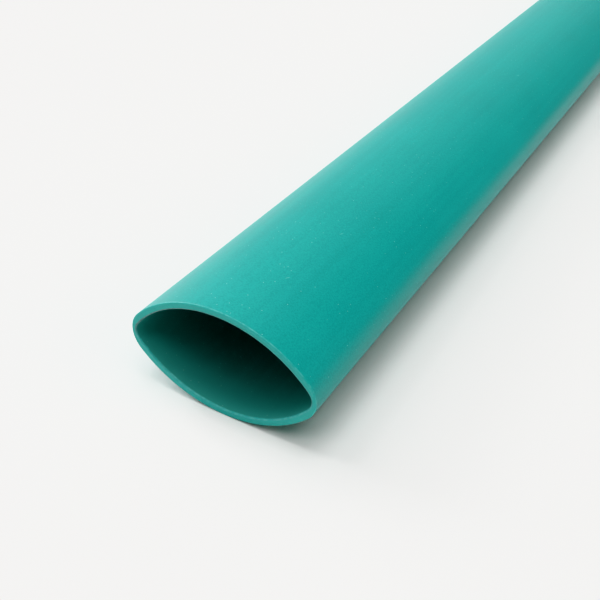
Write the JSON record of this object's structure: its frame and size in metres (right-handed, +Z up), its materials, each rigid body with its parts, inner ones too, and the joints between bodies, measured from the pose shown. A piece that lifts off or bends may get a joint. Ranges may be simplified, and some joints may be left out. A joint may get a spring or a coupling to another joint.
{
  "type": "heat shrink tube",
  "caption": "Cut length of heat shrink tube, a thin-walled plastic sleeve lying part flat with a lens-shaped bore, slid over a cable or joint and shrunk with heat.",
  "frame": {"origin": "on the floor, under the middle of the tube's length and width", "axes": "+Y along the tube, +X across its two folds, +Z up from the line that it lies on to its crown; the end in the picture faces -Y"},
  "size_m": [0.0274, 0.3, 0.0165],
  "materials": {
    "teal_polyolefin": "satin, extruded"
  },
  "bodies": {
    "root": {"tube": "teal_polyolefin"}
  },
  "joints": []
}
